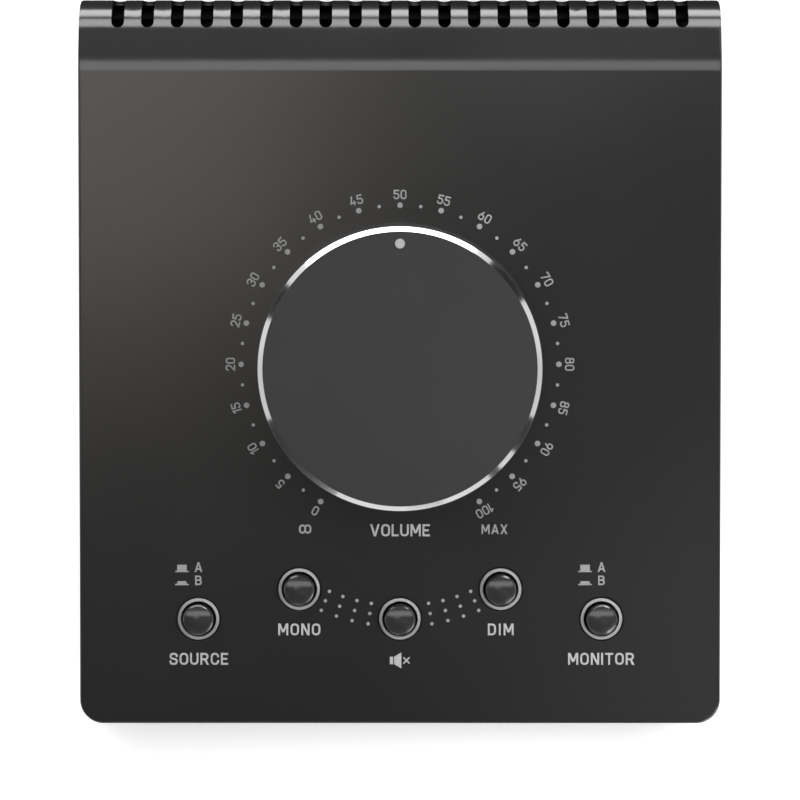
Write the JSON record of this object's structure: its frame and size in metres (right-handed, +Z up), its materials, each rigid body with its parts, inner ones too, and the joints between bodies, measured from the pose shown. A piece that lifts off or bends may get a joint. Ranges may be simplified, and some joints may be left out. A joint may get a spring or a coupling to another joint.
{
  "type": "studio monitor controller",
  "caption": "Desk-top wedge controller for studio monitors with a large volume knob, push buttons on a sloping panel, vent slots and rear signal sockets.",
  "frame": {"origin": "on the desk plane under the feet, in the middle of the whole length and width", "axes": "+X to the user's right, +Y from the user towards the rear sockets, +Z up"},
  "size_m": [0.1182, 0.1339, 0.0685],
  "materials": {
    "casing": "fine satin powder coat",
    "tray": "matt black paint",
    "rear_panel": "fine satin powder coat",
    "black_screw": "black zinc",
    "rubber": "matt",
    "knob_skirt": "fine satin",
    "knob_ring": "diamond-turned chamfer",
    "knob_face": "matt soft-touch",
    "pointer": "satin",
    "brass": "turned",
    "nickel": "nickel plated",
    "shaft": "turned",
    "component": "moulded",
    "wafer": "phenolic",
    "button_cap": "high gloss",
    "stem": "moulded white",
    "spring_steel": "drawn wire",
    "bezel": "satin",
    "board": "solder mask",
    "resistor": "lacquered",
    "ribbon": "ribbed vinyl",
    "socket": "moulded black",
    "contact": "plated"
  },
  "bodies": {
    "housing": {"top_cover": "casing", "base_tray": "tray", "rear_panel": "rear_panel", "cover_screws": "black_screw", "rear_panel_screws": "black_screw", "rubber_feet": "rubber", "pot_housing": "component", "pot_track": "wafer", "pot_bushing": "nickel", "pot_washer": "nickel", "pot_nut": "nickel", "button_bezels": "bezel", "control_board": "board", "board_standoffs": "nickel", "board_screws": "nickel", "solder_pins": "contact", "resistors": "resistor", "socket_board": "board", "ribbon_headers": "component", "ribbon_cable": "ribbon", "combo_input_left": "socket", "combo_input_right": "socket", "combo_contacts": "contact", "xlr_output_left": "socket", "xlr_output_right": "socket", "xlr_pins": "contact", "jack_output_left": "socket", "jack_output_right": "socket", "jack_nuts": "nickel", "mini_jack_input": "socket", "mini_jack_nut": "nickel", "socket_screws": "black_screw", "source_switch": "component", "source_spring": "spring_steel", "mono_switch": "component", "mono_spring": "spring_steel", "mute_switch": "component", "mute_spring": "spring_steel", "dim_switch": "component", "dim_spring": "spring_steel", "monitor_switch": "component", "monitor_spring": "spring_steel"},
    "volume_knob": {"knob_body": "knob_skirt", "knob_trim_ring": "knob_ring", "knob_top_disc": "knob_face", "knob_pointer": "pointer", "knob_insert": "brass", "pot_shaft": "shaft", "pot_wiper": "brass"},
    "source_button": {"source_cap": "button_cap", "source_stem": "stem"},
    "mono_button": {"mono_cap": "button_cap", "mono_stem": "stem"},
    "mute_button": {"mute_cap": "button_cap", "mute_stem": "stem"},
    "dim_button": {"dim_cap": "button_cap", "dim_stem": "stem"},
    "monitor_button": {"monitor_cap": "button_cap", "monitor_stem": "stem"}
  },
  "joints": [
    {"name": "volume_turn", "type": "hinge", "parent": "housing", "child": "volume_knob", "pos_m": [0, -0.00286, 0.04217], "axis": [0, 0.2588, -0.9659], "range_deg": [-150, 150]},
    {"name": "source_press", "type": "slide", "parent": "housing", "child": "source_button", "axis": [0, 0.2588, -0.9659], "range_m": [0, 0.0018], "stiffness_N_per_m": 300, "springref_m": -0.002, "deforming": ["source_spring"]},
    {"name": "mono_press", "type": "slide", "parent": "housing", "child": "mono_button", "axis": [0, 0.2588, -0.9659], "range_m": [0, 0.0018], "stiffness_N_per_m": 300, "springref_m": -0.002, "deforming": ["mono_spring"]},
    {"name": "mute_press", "type": "slide", "parent": "housing", "child": "mute_button", "axis": [0, 0.2588, -0.9659], "range_m": [0, 0.0018], "stiffness_N_per_m": 300, "springref_m": -0.002, "deforming": ["mute_spring"]},
    {"name": "dim_press", "type": "slide", "parent": "housing", "child": "dim_button", "axis": [0, 0.2588, -0.9659], "range_m": [0, 0.0018], "stiffness_N_per_m": 300, "springref_m": -0.002, "deforming": ["dim_spring"]},
    {"name": "monitor_press", "type": "slide", "parent": "housing", "child": "monitor_button", "axis": [0, 0.2588, -0.9659], "range_m": [0, 0.0018], "stiffness_N_per_m": 300, "springref_m": -0.002, "deforming": ["monitor_spring"]}
  ]
}
